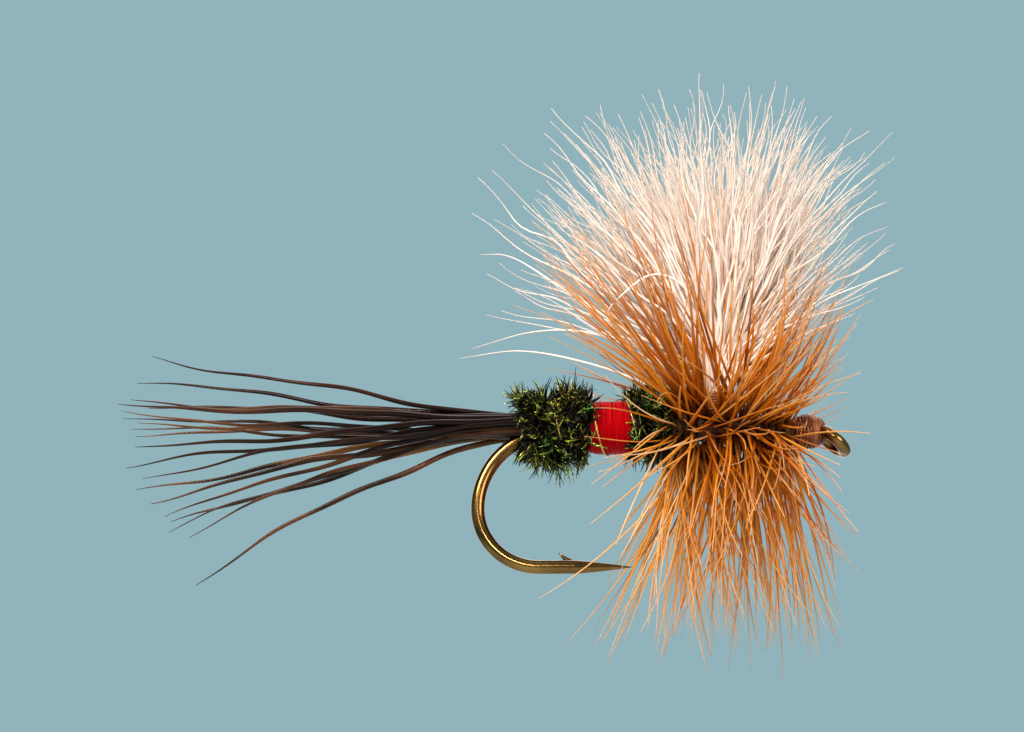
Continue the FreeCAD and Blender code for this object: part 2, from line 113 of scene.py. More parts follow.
def strands(paths, radii, sides=4, normals=None, flatten=1.0, shade=None):
    """Closed tapering tubes: paths is (n, k, 3), radii (n, k); returns points, faces and tones."""
    count, steps = radii.shape
    tangents = unit(np.gradient(paths, axis=1))
    if normals is None:
        overall = unit(paths[:, -1] - paths[:, 0])
        upright = np.abs(overall[:, 2:3]) < 0.8
        normals = np.where(upright, Z_AXIS, X_AXIS)[:, None, :] + 0 * paths
    across = unit(np.cross(tangents, normals))
    outward = np.cross(across, tangents)
    angles = 2 * np.pi * np.arange(sides) / sides
    ring = (np.cos(angles)[:, None] * across[:, :, None, :]
            + flatten * np.sin(angles)[:, None] * outward[:, :, None, :])
    points = paths[:, :, None, :] + radii[:, :, None, None] * ring

    first = (np.arange(count)[:, None, None] * steps
             + np.arange(steps - 1)[None, :, None]) * sides
    spot = np.arange(sides)[None, None, :]
    following = (spot + 1) % sides
    quads = np.stack([first + spot, first + sides + spot,
                      first + sides + following, first + following], axis=-1).reshape(-1, 4)
    starts = (np.arange(count) * steps * sides)[:, None] + np.arange(sides)
    ends = starts + (steps - 1) * sides
    caps = np.concatenate([starts, ends[:, ::-1]])

    if shade is None:
        shade = np.zeros(count)
    along = np.broadcast_to(np.linspace(0, 1, steps)[None, :, None], (count, steps, sides))
    return {"points": points.reshape(-1, 3),
            "faces": quads.tolist() + caps.tolist(),
            "along": along.reshape(-1),
            "shade": np.broadcast_to(shade[:, None, None], along.shape).reshape(-1)}


def joined(parts):
    """Several strand sets as one."""
    faces, offset = [], 0
    for part in parts:
        faces += [[index + offset for index in face] for face in part["faces"]]
        offset += len(part["points"])
    whole = {key: np.concatenate([part[key] for part in parts])
             for key in ("points", "along", "shade")}
    whole["faces"] = faces
    return whole


def piece(name, geometry, material, replaces):
    """One smooth mesh object that rides on the fly and stands for the named CAD nodes."""
    mesh = bpy.data.meshes.new(name)
    mesh.from_pydata((geometry["points"] * MM).tolist(), [], geometry["faces"])
    for key in ("along", "shade"):
        layer = mesh.attributes.new(key, "FLOAT", "POINT")
        layer.data.foreach_set("value", np.ascontiguousarray(geometry[key], np.float32))
    mesh.polygons.foreach_set("use_smooth", np.ones(len(mesh.polygons), bool))
    mesh.materials.append(material)
    mesh.update()
    thing = bpy.data.objects.new(name, mesh)
    bpy.context.scene.collection.objects.link(thing)
    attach(thing, "root")
    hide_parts(*replaces)


def grow(roots, start, end, lengths, steps, settle, bend):
    """Hairs that leave their roots along start, swing round to end within the share settle of
    their length, and curve by bend towards their tips."""
    along = np.linspace(0, 1, steps)
    weight = smoothstep(along / settle)[None, :, None]
    heading = (1 - weight) * start[:, None, :] + weight * end[:, None, :]
    heading = unit(unit(heading) + bend[:, None, :] * along[None, :, None])
    stride = lengths[:, None, None] / (steps - 1)
    travelled = np.cumsum((heading[:, 1:] + heading[:, :-1]) / 2 * stride, axis=1)
    return roots[:, None, :] + np.concatenate([np.zeros((len(roots), 1, 3)), travelled], axis=1)


def crinkle(rng, paths, amplitude, wavelength):
    """Sideways waves, stronger towards the tips, each hair with its own phase and plane."""
    count, steps = paths.shape[:2]
    tangents = unit(np.gradient(paths, axis=1))
    helper = unit(rng.normal(size=(count, 1, 3)))
    first = unit(np.cross(tangents, helper))
    second = np.cross(tangents, first)
    total = np.linalg.norm(np.diff(paths, axis=1), axis=-1).sum(axis=1)[:, None]
    along = np.linspace(0, 1, steps)[None, :]
    strength = amplitude * rng.uniform(0.4, 1.3, (count, 1)) * smoothstep(along * 1.5)
    waves = total / (wavelength * rng.uniform(0.75, 1.35, (count, 1)))
    phase = rng.uniform(0, 2 * np.pi, (count, 2))
    swing = np.sin(2 * np.pi * waves * along + phase[:, :1])
    sway = np.sin(2 * np.pi * waves * 1.7 * along + phase[:, 1:])
    return paths + (strength * swing)[..., None] * first + (0.4 * strength * sway)[..., None] * second


def taper(root_radii, steps, tip, fullness):
    """Radii that hold their thickness and then close to a fine tip."""
    along = np.linspace(0, 1, steps)[None, :]
    return root_radii[:, None] * (tip + (1 - tip) * (1 - along ** fullness))


def coil_path(start, end, pitch, radius_of, height, steps_per_turn,
              phase=0.0, skew=0.0, skew_phase=0.0):
    """A helix about a line along X; returns its points and the radial directions."""
    turns = abs(end - start) / abs(pitch)
    angle = np.linspace(0, 2 * np.pi * turns, max(int(turns * steps_per_turn), 8))
    station = start + (end - start) * angle / angle[-1] + skew * np.cos(angle - skew_phase)
    turned = phase + np.sign(pitch) * angle
    radial = np.stack([0 * angle, -np.sin(turned), np.cos(turned)], axis=-1)
    points = radial * radius_of(station)[:, None]
    points[:, 0] = station
    points[:, 2] += height
    return points, radial


def wound(points, radial, width, thickness, sides=6, shade=0.5):
    """One strand laid flat against what it is wound on."""
    radii = np.full((1, len(points)), width / 2)
    radii[0, 0] = radii[0, -1] = width / 8
    return strands(points[None], radii, sides, radial[None], thickness / width, np.array([shade]))


# ---------------------------------------------------------------- materials
class Finish:
    """A material with one Principled shader and short calls for the nodes that feed it."""

    def __init__(self, name, **values):
        self.material = bpy.data.materials.new(name)
        self.material.use_nodes = True
        self.tree = self.material.node_tree
        self.shader = self.tree.nodes["Principled BSDF"]
        for socket, value in values.items():
            self.shader.inputs[socket.replace("_", " ")].default_value = value

    def node(self, kind, **inputs):
        """A node whose properties and input sockets are set by name, or linked when given a socket."""
        node = self.tree.nodes.new(kind)
        for key, value in inputs.items():
            if key in node.bl_rna.properties:
                setattr(node, key, value)
        for key, value in inputs.items():
            if key in node.bl_rna.properties:
                continue
            socket = node.inputs[key.replace("_", " ")]
            if isinstance(value, bpy.types.NodeSocket):
                self.tree.links.new(value, socket)
            else:
                socket.default_value = value
        return node

    def tone(self, name):
        """A per-point tone of the mesh, such as the distance along a hair."""
        return self.node("ShaderNodeAttribute", attribute_name=name).outputs["Fac"]

    def ramp(self, factor, *stops):
        """Colours along a factor: each stop is a position and its colour."""
        node = self.node("ShaderNodeValToRGB", Fac=factor)
        elements = node.color_ramp.elements
        while len(elements) < len(stops):
            elements.new(0.5)
        for element, (position, colour) in zip(elements, stops):
            element.position = position
            element.color = (*colour, 1.0)
        return node.outputs["Color"]

    def noise(self, scale, detail=3.0, stretch=(1, 1, 1), seed=0.0):
        """Smooth noise in the piece's own space, drawn out along an axis whose stretch is small."""
        place = self.node("ShaderNodeTexCoord").outputs["Object"]
        mapping = self.node("ShaderNodeMapping", Vector=place, Scale=stretch,
                            Location=(seed, seed, seed))
        return self.node("ShaderNodeTexNoise", Vector=mapping.outputs["Vector"],
                         Scale=scale, Detail=detail).outputs["Fac"]

    def blend(self, factor, first, second, kind="MIX"):
        node = self.node("ShaderNodeMix", data_type="RGBA", blend_type=kind)
        for index, value in ((0, factor), (6, first), (7, second)):
            if isinstance(value, bpy.types.NodeSocket):
                self.tree.links.new(value, node.inputs[index])
            elif index:
                node.inputs[index].default_value = (*value, 1.0)
            else:
                node.inputs[index].default_value = value
        return node.outputs[2]

    def colour(self, socket):
        self.tree.links.new(socket, self.shader.inputs["Base Color"])

    def bump(self, height, strength, distance):
        node = self.node("ShaderNodeBump", Height=height, Strength=strength, Distance=distance)
        self.tree.links.new(node.outputs["Normal"], self.shader.inputs["Normal"])


def bronze_finish():
    """Bronze lacquer on drawn steel wire: warm brown-gold, darker in soft patches."""
    finish = Finish("hook_bronze", Metallic=1.0, Roughness=0.18, Coat_Weight=0.3, Coat_Roughness=0.08)
    patches = finish.noise(900.0, 4.0)
    finish.colour(finish.ramp(patches, (0.3, (0.12, 0.052, 0.009)), (0.7, (0.25, 0.118, 0.026))))
    finish.bump(finish.noise(2600.0, 3.0, (0.2, 1, 1)), 0.2, 0.00001)
    return finish.material


def thread_finish(name="thread_brown"):
    """Waxed tying thread: copper brown, each turn with its own tone and fine lengthwise filaments."""
    finish = Finish(name, Roughness=0.27, Specular_IOR_Level=0.35, Specular_Tint=(1.0, 0.66, 0.48, 1.0))
    patches = finish.ramp(finish.noise(3500.0, 4.0, (1, 0.25, 0.25)),
                          (0.30, (0.05, 0.011, 0.002)), (0.5, (0.21, 0.054, 0.014)),
                          (0.75, (0.58, 0.205, 0.075)))
    turns = finish.ramp(finish.tone("shade"), (0.0, (0.55, 0.5, 0.5)), (1.0, (1.0, 1.0, 1.0)))
    finish.colour(finish.blend(1.0, patches, turns, "MULTIPLY"))
    finish.bump(finish.noise(9000.0, 2.0, (1, 0.15, 0.15)), 0.6, 0.00001)
    return finish.material


def moose_finish():
    """Stiff body hair: near black with warm brown streaks, paler at the tip."""
    finish = Finish("moose_hair", Roughness=0.10, Specular_IOR_Level=0.14,
                    Specular_Tint=(1.0, 0.80, 0.72, 1.0))
    dark = finish.ramp(finish.tone("along"), (0.0, (0.006, 0.0022, 0.0014)),
                       (0.6, (0.009, 0.0032, 0.002)), (1.0, (0.030, 0.016, 0.010)))
    warm = finish.ramp(finish.tone("shade"), (0.0, (0.030, 0.010, 0.005)), (0.4, (0.075, 0.024, 0.010)),
                       (0.8, (0.15, 0.052, 0.018)), (1.0, (0.26, 0.095, 0.026)))
    streaks = finish.ramp(finish.noise(520.0, 3.0, (0.16, 1, 1)), (0.42, (0, 0, 0)), (0.62, (1, 1, 1)))
    finish.colour(finish.blend(streaks, dark, warm))
    finish.bump(finish.noise(3000.0, 2.0, (0.1, 1, 1)), 0.12, 0.00001)
    return finish.material


def herl_finish():
    """Herl flue: black to olive with bronze and green hues of its own, and painted glints: the brightest
    green-gold tones on some barbules and bright spots along them; painted shade darkens each barbule
    towards the quill.
    """
    finish = Finish("herl_green", Metallic=0.65, Roughness=0.28, Specular_IOR_Level=0.3)
    # The upper stops, yellow-green to near white, are painted glints; the lower ones are the herl's own
    # black, bronze and olive.
    tone = finish.ramp(finish.tone("shade"), (0.0, (0.006, 0.004, 0.003)),
                       (0.34, (0.020, 0.010, 0.004)), (0.46, (0.22, 0.10, 0.022)),
                       (0.58, (0.10, 0.15, 0.018)), (0.74, (0.74, 0.78, 0.05)),
                       (1.0, (1.0, 1.0, 0.26)))
    # Emerald in noise-driven places: the herl's own green, brightening at the top of the ramp into
    # painted glints.
    emerald = finish.ramp(finish.tone("shade"), (0.40, (0.010, 0.014, 0.006)),
                          (0.58, (0.05, 0.22, 0.04)), (1.0, (0.26, 0.85, 0.16)))
    places = finish.ramp(finish.noise(900.0, 2.0, seed=3.0), (0.54, (0.0, 0.0, 0.0)),
                         (0.66, (0.8, 0.8, 0.8)))
    tone = finish.blend(places, tone, emerald)
    # Painted glints: short bright spots along the barbules, much darker between them.
    patches = finish.ramp(finish.noise(5200.0, 2.0), (0.40, (0.10, 0.08, 0.07)),
                          (0.60, (1.0, 1.0, 1.0)))
    # Painted shade: each barbule darker towards the quill, where the barbules crowd together.
    deep = finish.ramp(finish.tone("along"), (0.0, (0.08, 0.07, 0.06)), (0.45, (0.8, 0.8, 0.8)),
                       (1.0, (1.0, 1.0, 1.0)))
    finish.colour(finish.blend(1.0, finish.blend(1.0, tone, deep, "MULTIPLY"), patches, "MULTIPLY"))
    return finish.material


def herl_quill_finish():
    """Bare herl quill: almost black, seen only between the barbules."""
    finish = Finish("herl_quill", Roughness=0.6, Specular_IOR_Level=0.1)
    finish.colour(finish.ramp(finish.noise(1500.0), (0.3, (0.006, 0.005, 0.005)),
                              (0.7, (0.020, 0.015, 0.014))))
    return finish.material


def floss_finish():
    """Silk floss: saturated red with a soft sheen, and painted shade in noise streaks along the turns,
    blended towards a deeper red, for the gaps between its filaments.
    """
    finish = Finish("floss_red", Roughness=0.45, Specular_IOR_Level=0.06,
                    Specular_Tint=(1.0, 0.34, 0.24, 1.0))
    tone = finish.ramp(finish.tone("shade"), (0.0, (0.15, 0.0, 0.001)), (0.5, (0.33, 0.0, 0.002)),
                       (1.0, (0.52, 0.004, 0.005)))
    # Painted shade: noise streaks along the turns blend the red towards a deeper red, standing for the
    # gaps between the filaments.
    finish.colour(finish.blend(finish.noise(2500.0, 3.0, (1, 0.2, 0.2)), tone, (0.40, 0.0, 0.003)))
    return finish.material


def calf_finish():
    """Calf-tail hair: creamy white, brown where it is tied in; along each hair, painted light and shade:
    near white through the middle, where the hairs shade each other, and painted darker to peach at the
    tip, where the lamps fall hardest.
    """
    finish = Finish("calf_hair_white", Roughness=0.5, Specular_IOR_Level=0.25)
    # Painted light and shade along each hair: the middle lifted to near white to offset the hairs shading
    # each other, the tip painted darker peach to offset the lamps on it.
    along = finish.ramp(finish.tone("along"), (0.0, (0.06, 0.02, 0.008)), (0.035, (0.30, 0.15, 0.09)),
                        (0.07, (0.96, 0.77, 0.66)), (0.22, (1.0, 0.85, 0.76)),
                        (0.60, (0.99, 0.82, 0.73)), (1.0, (0.60, 0.47, 0.40)))
    shade = finish.ramp(finish.tone("shade"), (0.0, (0.88, 0.85, 0.82)), (0.5, (0.97, 0.96, 0.95)),
                        (1.0, (1.0, 1.0, 1.0)))
    finish.colour(finish.blend(1.0, along, shade, "MULTIPLY"))
    return finish.material


def hackle_finish():
    """Cock hackle: rusty orange-brown barbs, dark at the stem, some barbs pale or deep brown."""
    finish = Finish("hackle_brown", Roughness=0.34, Specular_IOR_Level=0.26,
                    Specular_Tint=(1.0, 0.66, 0.40, 1.0))
    tone = finish.ramp(finish.tone("shade"), (0.0, (0.24, 0.045, 0.002)), (0.30, (0.52, 0.120, 0.003)),
                       (0.62, (0.72, 0.225, 0.011)), (0.85, (0.78, 0.35, 0.075)),
                       (1.0, (0.84, 0.52, 0.26)))
    pale = finish.ramp(finish.tone("along"), (0.50, (0.0, 0.0, 0.0)), (1.0, (0.45, 0.45, 0.45)))
    tone = finish.blend(pale, tone, (0.78, 0.44, 0.22))
    along = finish.ramp(finish.tone("along"), (0.0, (0.12, 0.06, 0.03)), (0.10, (0.42, 0.31, 0.20)),
                        (0.27, (1.0, 1.0, 1.0)), (1.0, (1.0, 1.0, 1.0)))
    finish.colour(finish.blend(1.0, tone, along, "MULTIPLY"))
    return finish.material


def quill_finish():
    """Wound hackle stem: dark brown."""
    finish = Finish("hackle_quill", Roughness=0.45, Specular_IOR_Level=0.15,
                    Specular_Tint=(1.0, 0.6, 0.4, 1.0))
    finish.colour(finish.ramp(finish.noise(2200.0), (0.3, (0.020, 0.008, 0.004)),
                              (0.7, (0.085, 0.032, 0.011))))
    return finish.material


def gold_finish():
    """Fine drawn wire, gold-ochre, a little dull."""
    finish = Finish("rib_gold", Metallic=0.85, Roughness=0.3)
    finish.colour(finish.ramp(finish.noise(3000.0), (0.3, (0.42, 0.24, 0.04)),
                              (0.7, (0.80, 0.54, 0.16))))
    return finish.material


def cement_finish():
    """Clear cement soaked into the head: seen only as a thin gloss."""
    finish = Finish("head_cement", Roughness=0.05, IOR=1.06, Transmission_Weight=1.0)
    finish.colour(finish.ramp(finish.noise(2500.0), (0.3, (0.98, 0.95, 0.92)),
                              (0.7, (1.0, 0.98, 0.96))))
    return finish.material


def floor_finish():
    """Plain pale floor, very slightly uneven in tone."""
    finish = Finish("studio_floor", Roughness=0.8)
    finish.colour(finish.ramp(finish.noise(6.0), (0.3, (0.53, 0.63, 0.65)), (0.7, (0.55, 0.65, 0.67))))
    return finish.material


# ---------------------------------------------------------------- hook
def hook_centreline():
    """The wire from its cut end round the eye, back along the shank and bend, to the point.

    Returns its points, its radii and the height of the spear, the straight run to the point."""
    down = np.array([math.cos(EYE_ANGLE), 0, -math.sin(EYE_ANGLE)])
    cut_angle, leave_angle, ring_steps = math.radians(-143), math.radians(140), 70
    turn = np.linspace(cut_angle, leave_angle, ring_steps)[:, None]
    ring = EYE_RING_RADIUS * (np.cos(turn) * down + np.sin(turn) * Y_AXIS)

    leave_heading = -math.sin(leave_angle) * down + math.cos(leave_angle) * Y_AXIS
    neck_x, pull, bridge_steps = -1.05, 0.85, 16
    neck = np.array([neck_x, 0, SHANK_Z])
    share = np.linspace(0, 1, bridge_steps)[1:, None]
    bridge = curve(share, ring[-1], pull * leave_heading, neck, -pull * X_AXIS)

    straight_steps = 60
    shank_x = np.linspace(neck_x, BEND_START, straight_steps)[1:]
    shank = np.stack([shank_x, 0 * shank_x, 0 * shank_x + SHANK_Z], axis=-1)

    upper = BEND_START - (HOOK_LOW[0] + WIRE_RADIUS)
    spear_z = HOOK_LOW[2] + WIRE_RADIUS
    lower = SHANK_Z - upper - spear_z
    upper_steps, lower_steps = 44, 34
    first = np.linspace(math.pi / 2, math.pi, upper_steps)[1:]
    second = np.linspace(math.pi, 1.5 * math.pi, lower_steps)[1:]
    middle_z = SHANK_Z - upper
    bend_end = BEND_START - upper + lower
    bend = np.concatenate([
        np.stack([BEND_START + upper * np.cos(first), 0 * first, middle_z + upper * np.sin(first)], -1),
        np.stack([bend_end + lower * np.cos(second), 0 * second, middle_z + lower * np.sin(second)], -1)])

    point_x = -7.75
    spear_x = bend_end + (point_x - bend_end) * np.linspace(0, 1, straight_steps)[1:]
    spear = np.stack([spear_x, 0 * spear_x, 0 * spear_x + spear_z], axis=-1)

    line = np.concatenate([ring, bridge, shank, bend, spear])
    radii = np.full(len(line), WIRE_RADIUS)
    radii[:len(ring)] = EYE_WIRE_RADIUS
    steps_past_bridge = 12
    easing = smoothstep(np.linspace(0, 1, len(bridge) + steps_past_bridge))
    swelling = slice(len(ring), len(ring) + len(easing))
    radii[swelling] = EYE_WIRE_RADIUS + (WIRE_RADIUS - EYE_WIRE_RADIUS) * easing
    taper_start, tip_radius, point_fullness = -9.95, 0.012, 1.25
    closing = np.clip((spear[:, 0] - taper_start) / (point_x - taper_start), 0, 1)
    radii[-len(spear):] = tip_radius + (WIRE_RADIUS - tip_radius) * (1 - closing ** point_fullness)

    cap_length, cap_tip_radius = EYE_WIRE_RADIUS * 0.8, 0.01
    rounding = np.linspace(0, math.pi / 2, 7)[:-1]
    cap = ring[0] - cap_length * np.cos(rounding)[:, None] * unit(ring[1] - ring[0])
    cap_radii = EYE_WIRE_RADIUS * np.sin(rounding)
    cap_radii[0] = cap_tip_radius
    return np.concatenate([cap, line]), np.concatenate([cap_radii, radii]), spear_z


def build_hook():
    """One bent wire with a barb raised from the top of its spear."""
    line, radii, spear_z = hook_centreline()
    tangents = unit(np.gradient(line, axis=0))
    normals = [np.array([math.sin(EYE_ANGLE), 0, math.cos(EYE_ANGLE)])]
    for tangent in tangents[1:]:
        carried = normals[-1] - tangent * np.dot(normals[-1], tangent)
        normals.append(unit(carried))
    wire = strands(line[None], radii[None], 32, np.array(normals)[None])
    top = spear_z + WIRE_RADIUS
    barb_line = np.array([[-10.00, 0, top - 0.17], [-10.16, 0, top - 0.05], [-10.31, 0, top + 0.07],
                          [-10.45, 0, top + 0.19], [-10.57, 0, top + 0.31]])
    barb_radii = np.array([0.17, 0.135, 0.092, 0.045, 0.006])
    across = np.broadcast_to(Y_AXIS, (1, len(barb_line), 3))
    barb = strands(barb_line[None], barb_radii[None], 12, across, flatten=0.6)
    piece("hook_wire", joined([wire, barb]), bronze_finish(), ["hook"])


# ---------------------------------------------------------------- tail
def build_tail():
    """Stiff hairs laid round the top of the shank, fanned out behind, each with its own waves."""
    rng = np.random.default_rng(11)
    material = moose_finish()
    names = sorted(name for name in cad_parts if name.startswith("tail_hair_"))
    steps, fan_start = 70, -12.0
    radius, root_inset = 0.112, 0.09
    lowest_root, highest_root = SHANK_Z - 0.15, SHANK_Z + 0.62
    along = np.linspace(0, 1, steps)
    for index, name in enumerate(names):
        low, high = node_box(name)
        droops = index > (len(names) - 1) / 2
        leans_left = abs(high[1]) > abs(low[1])
        root_y = low[1] + radius if leans_left else high[1] - radius
        tip_y = high[1] if leans_left else low[1]
        root_z = high[2] - root_inset if droops else low[2] + root_inset
        root_z = np.clip(root_z, lowest_root, highest_root)
        tip_z = low[2] if droops else high[2]
        station = high[0] + (low[0] - high[0]) * along
        back = np.clip((fan_start - station) / (fan_start - low[0]), 0, 1)
        drift = back ** (1.15 + 0.5 * rng.random())
        phase = rng.uniform(0, FULL_TURN, 3)
        ripple = wave(0.11, 1.5, back, phase[0]) + wave(0.04, 3.6, back, phase[1])
        sway = wave(0.12, 1.3, back, phase[2])
        path = np.stack([station,
                         root_y + (tip_y - root_y) * drift + sway * back,
                         root_z + (tip_z - root_z) * drift + ripple * smoothstep(back * 3)], axis=-1)
        tip, fullness = 0.10, 3.0
        radii = radius * rng.uniform(0.80, 1.20) * (tip + (1 - tip) * (1 - back ** fullness))
        radii *= 1 + wave(0.05, 5, back, phase[1])
        darkest, step_between_hairs, scatter = 0.18, 0.5, 0.22
        tone = np.clip(darkest + step_between_hairs * (index % 2) + rng.normal(0, scatter, 1), 0, 1)
        piece("moose_hair_%02d" % (index + 1), strands(path[None], radii[None], 12, shade=tone),
              material, [name])


# ---------------------------------------------------------------- body
def level(radius):
    """The same winding radius all along."""
    return lambda station: radius + 0 * station


def build_herl(name, count, seed, reach):
    """A wound herl: the quill as a coil and, all along it, tufts of short curved barbules.

    The barbules lie down where the rib crosses them."""
    rng = np.random.default_rng(seed)
    flue_low, flue_high = node_box(name + "_flue")
    inset, pitch, sunk = 0.12, 0.30, 0.05
    coil, radial = coil_path(flue_low[0] + inset, flue_high[0] - inset, pitch,
                             level(CORE_RADIUS - sunk), BODY_Z, 40)
    piece(name + "_quill", wound(coil, radial, 0.30, 0.14, 8), herl_quill_finish(),
          [name + "_quills"])

    per_tuft, steps, rib_path = 4, 7, 0.17
    tufts = count // per_tuft
    tuft = np.repeat(np.arange(tufts), per_tuft)
    total = len(tuft)
    spot = np.sort(rng.uniform(0, len(coil) - 1, tufts)).astype(int)[tuft]
    outward = radial[spot]
    sideways = np.cross(X_AXIS, outward)
    roots = coil[spot] + rng.normal(0, 0.03, (total, 3))
    share = np.clip((roots[:, 0] - flue_low[0]) / (flue_high[0] - flue_low[0]), 0.02, 0.98)
    turn = np.arctan2(-outward[:, 1], outward[:, 2])
    rib_turn = RIB_PHASE + FULL_TURN * (roots[:, 0] - RIB_START) / RIB_PITCH
    gap = ((turn - rib_turn + np.pi) % FULL_TURN - np.pi) * RIB_PITCH / FULL_TURN
    pressed = np.exp(-(gap / rib_path) ** 2)

    fringe = np.where(rng.random(tufts) < 0.5, -1, 1)[tuft] * rng.uniform(0.1, 1.2, tufts)[tuft]
    fringe = fringe + 1.5 * (share - 0.5) - 1.5 * np.sign(gap) * pressed
    swirl = rng.normal(0.0, 0.9, tufts)[tuft]
    start = unit(outward + (fringe + rng.normal(0, 0.30, total))[:, None] * X_AXIS
                 + (swirl + rng.normal(0, 0.35, total))[:, None] * sideways)
    bend = 0.30 * outward + rng.normal(0, 0.95, (tufts, 3))[tuft] + rng.normal(0, 0.30, (total, 3))
    swell = (0.92 + 0.18 * np.sin(2.6 * roots[:, 0] + 2 * outward[:, 2])
             + 0.18 * np.sin(7 * outward[:, 1] + seed))
    swell *= (0.60 + 0.42 * np.sqrt(np.sin(np.pi * share))) * (1 - 0.5 * pressed)
    tuft_length = rng.uniform(0.66, 1.26, tufts)[tuft]
    lengths = reach * swell * tuft_length * rng.uniform(0.65, 1.12, total)
    paths = grow(roots, start, start, lengths, steps, 1.0, bend)
    radii = taper(rng.uniform(0.034, 0.054, total), steps, 0.22, 1.6)
    shade = np.clip(rng.beta(1.1, 1.9, tufts)[tuft] + rng.normal(0, 0.22, total), 0, 1)
    piece(name + "_flue", strands(paths, radii, 3, shade=shade), herl_finish(),
          [name + "_flue"])


def build_floss():
    """Floss wound over itself: fine filaments in close turns, a few crossing at a slant."""
    rng = np.random.default_rng(21)
    overhang = 0.03
    start, end = FLOSS_LOW[0] - overhang, FLOSS_HIGH[0] + overhang
    middle = (start + end) / 2

    def barrel(lift):
        return lambda station: (CORE_RADIUS + lift - 0.03
                                - 0.10 * np.abs((station - middle) / (end - middle)) ** 5)

    under, under_radial = coil_path(start, end, 0.07, barrel(-0.015), BODY_Z, 48)
    parts = [wound(under, under_radial, 0.13, 0.03, 4, 0.5)]
    for layer, pitch in enumerate((0.045, -0.05, 0.055)):
        for strand in range(2 + layer):
            coil, radial = coil_path(start, end, pitch * (2 + layer), barrel(0.010 * layer), BODY_Z, 60,
                                     phase=rng.uniform(0, FULL_TURN), skew=rng.uniform(0.0, 0.05),
                                     skew_phase=rng.uniform(0, FULL_TURN))
            unevenness = 0.010 * np.sin(np.arange(len(coil)) * rng.uniform(0.05, 0.12))
            coil = coil + radial * unevenness[:, None]
            parts.append(wound(coil, radial, 0.062, 0.040, 5, rng.random()))
    piece("floss_winding", joined(parts), floss_finish(), ["floss_band"])


def build_rib():
    """Fine wire over the body, not quite even in its turns."""
    lift, wander, wander_turns = 0.045, 0.05, 23
    coil, radial = coil_path(RIB_START, RIB_END, RIB_PITCH, level(CORE_RADIUS + lift), BODY_Z, 64,
                             phase=RIB_PHASE)
    coil[:, 0] += wander * np.sin(np.linspace(0, wander_turns, len(coil)))
    piece("rib_winding", wound(coil, radial, 0.085, 0.075, 8), gold_finish(), ["rib_wire"])


# ---------------------------------------------------------------- wing
def stray(points, steps):
    """A smooth hair through a few places it passes."""
    points = np.array(points, float)
    slopes = np.gradient(points, axis=0)
    where = np.linspace(0, len(points) - 1, steps)
    index = np.minimum(where.astype(int), len(points) - 2)
    share = (where - index)[:, None]
    return curve(share, points[index], slopes[index], points[index + 1], slopes[index + 1])


def build_wing(name, node, side, seed, middle, strays):
    """A posted bunch of crinkly hair, tight at its foot, fanned in loose locks fore and aft above."""
    rng = np.random.default_rng(seed)
    count, locks, steps = 420, 34, 34
    low, high = node_box("wing_post_left" if side > 0 else "wing_post_right")
    foot_y = (low[1] + high[1]) / 2 - side * math.tan(WING_LEAN) * (high[2] - low[2]) / 2
    foot_length, foot_width = 0.38, 0.20
    ring = np.sqrt(rng.random(count))
    turn = rng.uniform(0, FULL_TURN, count)
    roots = np.stack([WING_X + foot_length * ring * np.cos(turn),
                      foot_y + foot_width * ring * np.sin(turn),
                      np.full(count, WING_FOOT_Z)], axis=-1)

    lock = rng.integers(0, locks, count)
    spread = np.linspace(-1, 1, locks)
    half_fan = 45
    lock_fan = middle + half_fan * spread * np.abs(spread) ** 1.1 + rng.normal(0, 3, locks)
    lock_lean = np.clip(rng.normal(14, 7, locks), -2, 30)
    fan = np.radians(lock_fan[lock] + rng.normal(0, 3.5, count))
    lean = side * np.radians(lock_lean[lock] + rng.normal(0, 3, count))
    full_length, shorter_forward = 12.9, 2.6
    lengths = full_length - shorter_forward * np.clip(fan / np.radians(half_fan), 0, None) ** 2
    lengths = lengths * (1 + 0.05 * np.abs(np.sin(2 * fan))) * (0.60 + 0.45 * rng.beta(2.0, 1.9, count))

    start = np.stack([np.full(count, 0.04), np.full(count, side * 0.22), np.ones(count)], axis=-1)
    end = np.stack([np.sin(fan) * np.cos(lean), np.sin(lean), np.cos(fan) * np.cos(lean)], axis=-1)
    lock_bend, hair_bend, outward_bend = (0.42, 0.14, 0.10), (0.26, 0.10, 0.08), 0.06
    bend = rng.normal(0, 1, (locks, 3))[lock] * lock_bend + outward_bend * np.sin(fan)[:, None] * X_AXIS
    bend = bend + rng.normal(0, 1, (count, 3)) * hair_bend
    settle, crinkle_size, crinkle_length = 0.36, 0.17, 4.5
    paths = grow(roots, unit(start), end, lengths, steps, settle, bend)
    paths = crinkle(rng, paths, crinkle_size, crinkle_length)
    paths = np.concatenate([paths, [stray(points, steps) for points in strays]])
    radii = taper(rng.uniform(0.046, 0.076, len(paths)), steps, 0.18, 1.8)
    foot_thickening, foot_share = 0.5, 0.12
    radii *= 1 + foot_thickening * np.exp(-np.linspace(0, 1, steps) / foot_share)
    piece(name, strands(paths, radii, 4, shade=rng.random(len(paths))), calf_finish(),
          [node])


